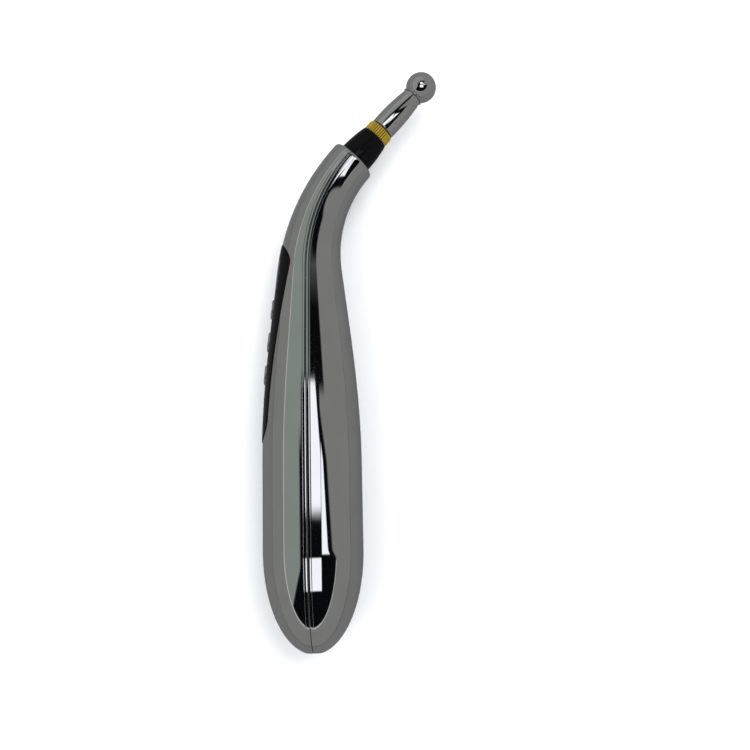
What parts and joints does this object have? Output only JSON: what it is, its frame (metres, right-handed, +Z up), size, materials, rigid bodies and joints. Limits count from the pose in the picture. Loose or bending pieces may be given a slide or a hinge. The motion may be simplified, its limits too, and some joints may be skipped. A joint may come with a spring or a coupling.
{
  "type": "electric massager",
  "caption": "Bent, pen-shaped electric massager: chromed handle with a black control panel and display, press buttons, gold fluted ring and a screw-on ball head.",
  "frame": {"origin": "under the middle of the bounding box, at the level of the handle's lowest line, with the massager lying on its side", "axes": "+Y along the straight part of the handle towards the head, +X towards the side the neck bends to, +Z up"},
  "size_m": [0.071, 0.2256, 0.032],
  "materials": {
    "plated_shell": "mirror chrome plating on moulded plastic",
    "plated_head": "mirror chrome plating on metal",
    "black_gloss": "gloss black",
    "clear_window": "clear, polished",
    "display_glass": "grey-green liquid crystal",
    "light_plate": "milky",
    "white_plastic": "moulded",
    "key_plating": "bright silver plating on plastic",
    "switch_plastic": "moulded",
    "board_laminate": "green solder mask",
    "bright_steel": "bright",
    "chip_plastic": "moulded",
    "ferrite": "fired ferrite",
    "copper_winding": "enamelled wire",
    "can_aluminium": "sleeved can",
    "cell_sleeve": "plain shrink sleeve",
    "lead_sleeve": "sleeved wire",
    "gold_plating": "polished gold plating",
    "seal_rubber": "matt"
  },
  "bodies": {
    "handle": {"front_shell": "plated_shell", "rear_shell": "plated_shell", "control_panel": "black_gloss", "neck_collar": "black_gloss", "display_window": "clear_window", "display_module": "display_glass", "backlight_plate": "light_plate", "display_holder": "white_plastic", "tact_switches": "switch_plastic", "circuit_board": "board_laminate", "board_screws": "bright_steel", "control_chip": "chip_plastic", "transformer_core": "ferrite", "transformer_winding": "copper_winding", "reservoir_capacitor": "can_aluminium", "buzzer": "chip_plastic", "battery_cell": "cell_sleeve", "battery_leads": "lead_sleeve", "charge_socket": "chip_plastic", "socket_leads": "lead_sleeve", "return_contact": "bright_steel", "electrode_lead": "lead_sleeve", "electrode_stud": "bright_steel", "contact_ring": "gold_plating"},
    "power_key": {"power_button": "key_plating", "power_plunger": "switch_plastic"},
    "plus_key": {"plus_button": "key_plating", "plus_plunger": "switch_plastic"},
    "minus_key": {"minus_button": "key_plating", "minus_plunger": "switch_plastic"},
    "seal_carrier": {"head_seal": "seal_rubber"},
    "head": {"massage_head": "plated_head"}
  },
  "joints": [
    {"name": "power_press", "type": "slide", "parent": "handle", "child": "power_key", "axis": [0.9962, -0.0872, 0], "range_m": [0, 0.0005], "stiffness_N_per_m": 800},
    {"name": "plus_press", "type": "slide", "parent": "handle", "child": "plus_key", "axis": [0.9962, -0.0872, 0], "range_m": [0, 0.0005], "stiffness_N_per_m": 800},
    {"name": "minus_press", "type": "slide", "parent": "handle", "child": "minus_key", "axis": [0.9962, -0.0872, 0], "range_m": [0, 0.0005], "stiffness_N_per_m": 800},
    {"name": "head_lift", "type": "slide", "parent": "handle", "child": "seal_carrier", "axis": [0.6884, 0.7254, 0], "range_m": [0, 0.007]},
    {"name": "head_turn", "type": "hinge", "parent": "seal_carrier", "child": "head", "pos_m": [0.0019, 0.07773, 0.01598], "axis": [0.6884, 0.7254, 0], "range_deg": [0, 2520]}
  ],
  "couplings": [
    {"joint": "head_turn", "follows": "head_lift", "rad_per_m": 6283.2}
  ]
}
